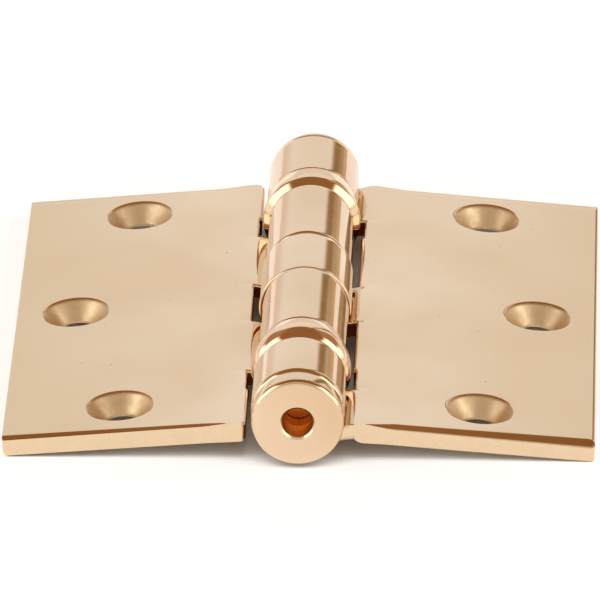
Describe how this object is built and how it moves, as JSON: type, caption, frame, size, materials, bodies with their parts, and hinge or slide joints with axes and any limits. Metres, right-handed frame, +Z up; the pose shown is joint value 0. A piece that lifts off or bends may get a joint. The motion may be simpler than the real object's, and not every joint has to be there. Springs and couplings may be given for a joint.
{
  "type": "door hinge",
  "caption": "Full-mortise butt hinge with square corners, rolled knuckles, ball bearings between them and a removable pin, lying open.",
  "frame": {"origin": "on the pin axis, halfway along the leaves; the tip and the head differ, so the middle of the whole lies 0.4 mm lower", "axes": "+Y along the pin to the top end, where its button head is; +Z up, out of the countersunk faces; +X to the three-knuckle leaf"},
  "size_m": [0.0884, 0.0951, 0.015],
  "materials": {
    "bright_brass": "polished and lacquered bright brass",
    "plated_cup": "polished brass plate on a pressed cup",
    "bearing_steel": "hardened and ground steel"
  },
  "bodies": {
    "jamb_leaf": {"three_knuckle_leaf": "bright_brass", "bottom_tip": "bright_brass", "lower_bearing_lower_race": "bearing_steel", "upper_bearing_cup": "plated_cup", "upper_bearing_upper_race": "bearing_steel"},
    "door_leaf": {"two_knuckle_leaf": "bright_brass", "lower_bearing_cup": "plated_cup", "lower_bearing_upper_race": "bearing_steel", "upper_bearing_lower_race": "bearing_steel"},
    "pin": {"hinge_pin": "bright_brass"},
    "lower_balls": {"lower_bearing_balls": "bearing_steel"},
    "upper_balls": {"upper_bearing_balls": "bearing_steel"}
  },
  "joints": [
    {"name": "leaf_swing", "type": "hinge", "parent": "jamb_leaf", "child": "door_leaf", "pos_m": [0, 0, 0], "axis": [0, 1, 0], "range_deg": [-115, 190.9]},
    {"name": "pin_withdraw", "type": "slide", "parent": "jamb_leaf", "child": "pin", "axis": [0, 1, 0], "range_m": [0, 0.086]},
    {"name": "lower_balls_orbit", "type": "hinge", "parent": "jamb_leaf", "child": "lower_balls", "pos_m": [0, -0.02825, 0], "axis": [0, 1, 0], "range_deg": [-58, 96]},
    {"name": "upper_balls_orbit", "type": "hinge", "parent": "jamb_leaf", "child": "upper_balls", "pos_m": [0, 0.0283, 0], "axis": [0, 1, 0], "range_deg": [-58, 96]}
  ],
  "couplings": [
    {"joint": "lower_balls_orbit", "follows": "leaf_swing", "ratio": 0.5},
    {"joint": "upper_balls_orbit", "follows": "leaf_swing", "ratio": 0.5}
  ]
}
